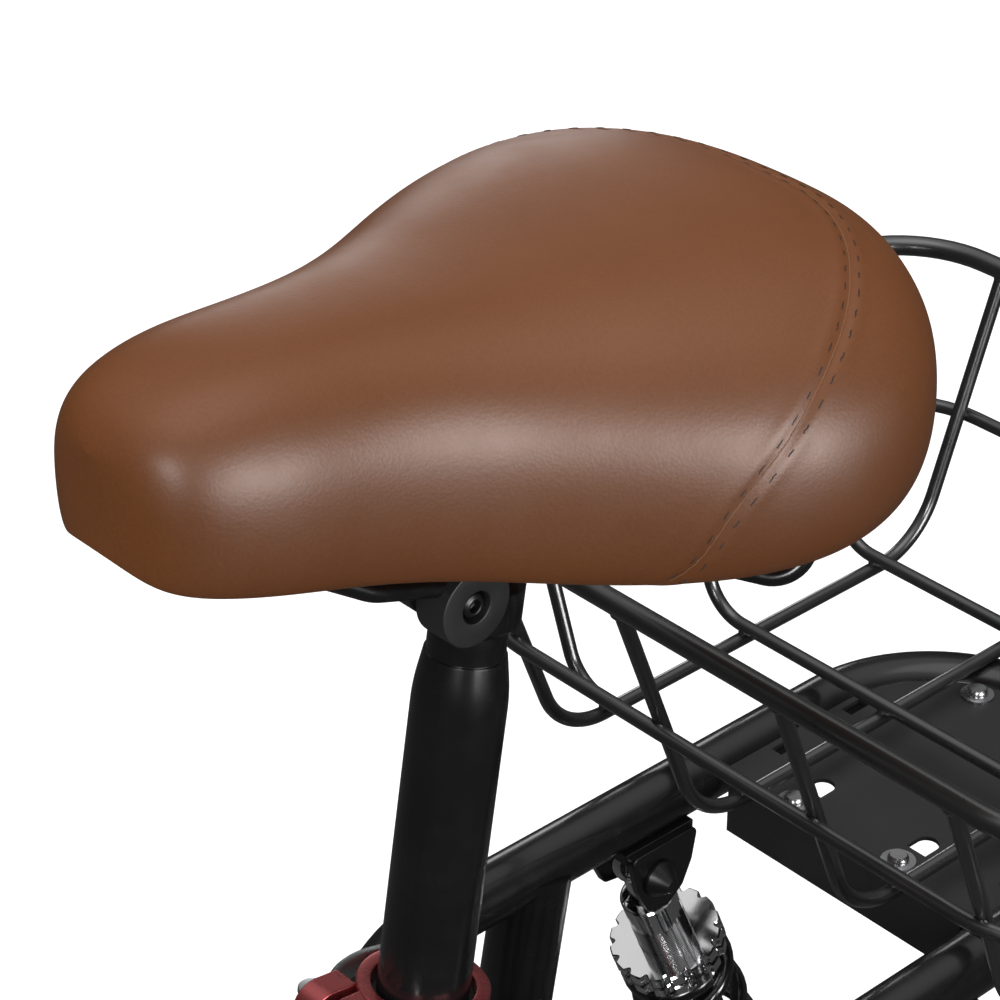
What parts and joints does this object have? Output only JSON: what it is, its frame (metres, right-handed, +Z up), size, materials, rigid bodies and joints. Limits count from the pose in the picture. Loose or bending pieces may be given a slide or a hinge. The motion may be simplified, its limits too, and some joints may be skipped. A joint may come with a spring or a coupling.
{
  "type": "adult tricycle",
  "caption": "Adult tricycle with a step-through frame, wide brown saddle, sprung rear swingarm, tall handlebar and a wire basket over the rear axle.",
  "frame": {"origin": "on the ground, at the centre of the bounding box", "axes": "+Z up, -Y the way the rider faces, +X to the rider's left"},
  "size_m": [0.6261, 1.4149, 1.0766],
  "materials": {
    "frame_black": "gloss black powder coat",
    "plate_grey": "satin dark grey",
    "wire_black": "gloss black coated wire",
    "chrome": "polished",
    "bare_steel": "zinc plated",
    "alloy": "satin alloy",
    "black_alloy": "satin black anodised",
    "red_alloy": "red anodised",
    "brown_leather": "smooth brown, double stitched",
    "black_plastic": "moulded black",
    "tyre": "treaded rubber",
    "spring_black": "gloss black coated spring"
  },
  "bodies": {
    "frame": {"head_tube": "frame_black", "main_tube": "frame_black", "seat_tube": "frame_black", "crank_cups": "black_alloy", "headset_cups": "chrome", "rail_hoop": "frame_black", "rail_struts": "frame_black", "shock_hangers": "frame_black", "rack_plate": "plate_grey", "rack_screws": "bare_steel", "basket_floor": "wire_black", "basket_ends": "wire_black", "basket_sides": "wire_black", "seat_clamp": "red_alloy", "seat_clamp_bolt": "chrome"},
    "seat": {"seat_post": "frame_black", "saddle_clamp": "black_alloy", "saddle_clamp_bolt": "black_alloy", "saddle_rails": "frame_black", "saddle_base": "black_plastic", "saddle_cover": "brown_leather"},
    "clamp_lever": {"seat_clamp_lever": "alloy"},
    "steering": {"fork": "frame_black", "front_fender": "frame_black", "front_axle": "bare_steel"},
    "bars": {"stem": "black_alloy", "handlebar": "black_alloy", "grips": "brown_leather", "brake_lever_mount": "black_alloy", "bell": "chrome"},
    "bell_thumb": {"bell_lever": "black_plastic"},
    "brake_handle": {"brake_lever": "alloy"},
    "arm_left": {"brake_arm_left": "alloy"},
    "arm_right": {"brake_arm_right": "alloy"},
    "front_wheel": {"front_hub": "alloy", "front_spokes": "bare_steel", "front_rim": "alloy", "front_tyre": "tyre"},
    "crankset": {"crank_left": "alloy", "crank_right": "alloy", "crank_spindle": "bare_steel", "chainring": "bare_steel"},
    "foot_left": {"pedal_left": "black_plastic"},
    "foot_right": {"pedal_right": "black_plastic"},
    "rear_arm": {"swingarm": "frame_black", "swingarm_bearings": "bare_steel", "shock_arch": "frame_black", "chain": "bare_steel"},
    "sprocket": {"freewheel": "bare_steel"},
    "drive_axle": {"rear_axle": "bare_steel", "rear_wheel_left": "alloy", "rear_tyre_left": "tyre"},
    "free_wheel": {"rear_wheel_right": "alloy", "rear_tyre_right": "tyre"},
    "damper_left": {"shock_body_left": "chrome", "shock_spring_left": "spring_black"},
    "shaft_left": {"shock_shaft_left": "chrome"},
    "damper_right": {"shock_body_right": "chrome", "shock_spring_right": "spring_black"},
    "shaft_right": {"shock_shaft_right": "chrome"}
  },
  "joints": [
    {"name": "seat_height", "type": "slide", "parent": "frame", "child": "seat", "axis": [0, 0.1564, 0.9877], "range_m": [-0.09, 0.11]},
    {"name": "clamp_lever_turn", "type": "hinge", "parent": "frame", "child": "clamp_lever", "pos_m": [-0.023, 0.20292, 0.6825], "axis": [0, 0.1564, 0.9877], "range_deg": [0, 140]},
    {"name": "steer", "type": "hinge", "parent": "frame", "child": "steering", "pos_m": [0, -0.36715, 0.51454], "axis": [0, 0.309, 0.9511], "range_deg": [-50, 50]},
    {"name": "stem_height", "type": "slide", "parent": "steering", "child": "bars", "axis": [0, 0.309, 0.9511], "range_m": [-0.05, 0.04]},
    {"name": "front_wheel_spin", "type": "hinge", "parent": "steering", "child": "front_wheel", "pos_m": [0, -0.5055, 0.202], "axis": [1, 0, 0], "continuous": true},
    {"name": "crank_spin", "type": "hinge", "parent": "frame", "child": "crankset", "pos_m": [0, 0.1677, 0.262], "axis": [1, 0, 0], "continuous": true},
    {"name": "pedal_left_spin", "type": "hinge", "parent": "crankset", "child": "foot_left", "pos_m": [0.124, 0.01571, 0.262], "axis": [1, 0, 0], "continuous": true},
    {"name": "pedal_right_spin", "type": "hinge", "parent": "crankset", "child": "foot_right", "pos_m": [-0.124, 0.31971, 0.262], "axis": [1, 0, 0], "continuous": true},
    {"name": "swing", "type": "hinge", "parent": "frame", "child": "rear_arm", "pos_m": [0, 0.1677, 0.262], "axis": [1, 0, 0], "range_deg": [0, 4.5], "stiffness_Nm_per_rad": 900, "springref_deg": -9.17},
    {"name": "sprocket_spin", "type": "hinge", "parent": "rear_arm", "child": "sprocket", "pos_m": [0, 0.5545, 0.153], "axis": [1, 0, 0], "continuous": true},
    {"name": "drive_axle_spin", "type": "hinge", "parent": "rear_arm", "child": "drive_axle", "pos_m": [0, 0.5545, 0.153], "axis": [1, 0, 0], "continuous": true},
    {"name": "free_wheel_spin", "type": "hinge", "parent": "drive_axle", "child": "free_wheel", "pos_m": [-0.25, 0.5545, 0.153], "axis": [1, 0, 0], "continuous": true},
    {"name": "brake_lever_pull", "type": "hinge", "parent": "bars", "child": "brake_handle", "pos_m": [-0.20408, -0.26421, 1.02657], "axis": [0, 0, -1], "range_deg": [0, 15], "stiffness_Nm_per_rad": 1.5, "springref_deg": -6.88},
    {"name": "bell_lever_flick", "type": "hinge", "parent": "bars", "child": "bell_thumb", "pos_m": [0.20542, -0.23336, 1.04457], "axis": [0, 0, 1], "range_deg": [0, 30], "stiffness_Nm_per_rad": 0.05, "springref_deg": -5.73},
    {"name": "brake_arm_left_turn", "type": "hinge", "parent": "steering", "child": "arm_left", "pos_m": [0.042, -0.44602, 0.32357], "axis": [0, -0.9511, 0.309], "range_deg": [0, 3.4]},
    {"name": "shock_left_tilt", "type": "hinge", "parent": "frame", "child": "damper_left", "pos_m": [0.08, 0.4205, 0.6], "axis": [1, 0, 0], "range_deg": [0, 1.46]},
    {"name": "shock_left_stroke", "type": "slide", "parent": "damper_left", "child": "shaft_left", "axis": [0, -0.3827, 0.9239], "range_m": [0, 0.03014], "deforming": ["shock_spring_left"]},
    {"name": "brake_arm_right_turn", "type": "hinge", "parent": "steering", "child": "arm_right", "pos_m": [-0.042, -0.44602, 0.32357], "axis": [0, 0.9511, -0.309], "range_deg": [0, 3.4]},
    {"name": "shock_right_tilt", "type": "hinge", "parent": "frame", "child": "damper_right", "pos_m": [-0.08, 0.4205, 0.6], "axis": [1, 0, 0], "range_deg": [0, 1.46]},
    {"name": "shock_right_stroke", "type": "slide", "parent": "damper_right", "child": "shaft_right", "axis": [0, -0.3827, 0.9239], "range_m": [0, 0.03014], "deforming": ["shock_spring_right"]}
  ],
  "couplings": [
    {"joint": "sprocket_spin", "follows": "crank_spin", "ratio": 2.5},
    {"joint": "brake_arm_left_turn", "follows": "brake_lever_pull", "ratio": 0.22644},
    {"joint": "shock_left_tilt", "follows": "swing", "ratio": 0.3094},
    {"joint": "shock_left_stroke", "follows": "swing", "m_per_rad": 0.36553},
    {"joint": "brake_arm_right_turn", "follows": "brake_lever_pull", "ratio": 0.22644},
    {"joint": "shock_right_tilt", "follows": "swing", "ratio": 0.3094},
    {"joint": "shock_right_stroke", "follows": "swing", "m_per_rad": 0.36553}
  ]
}
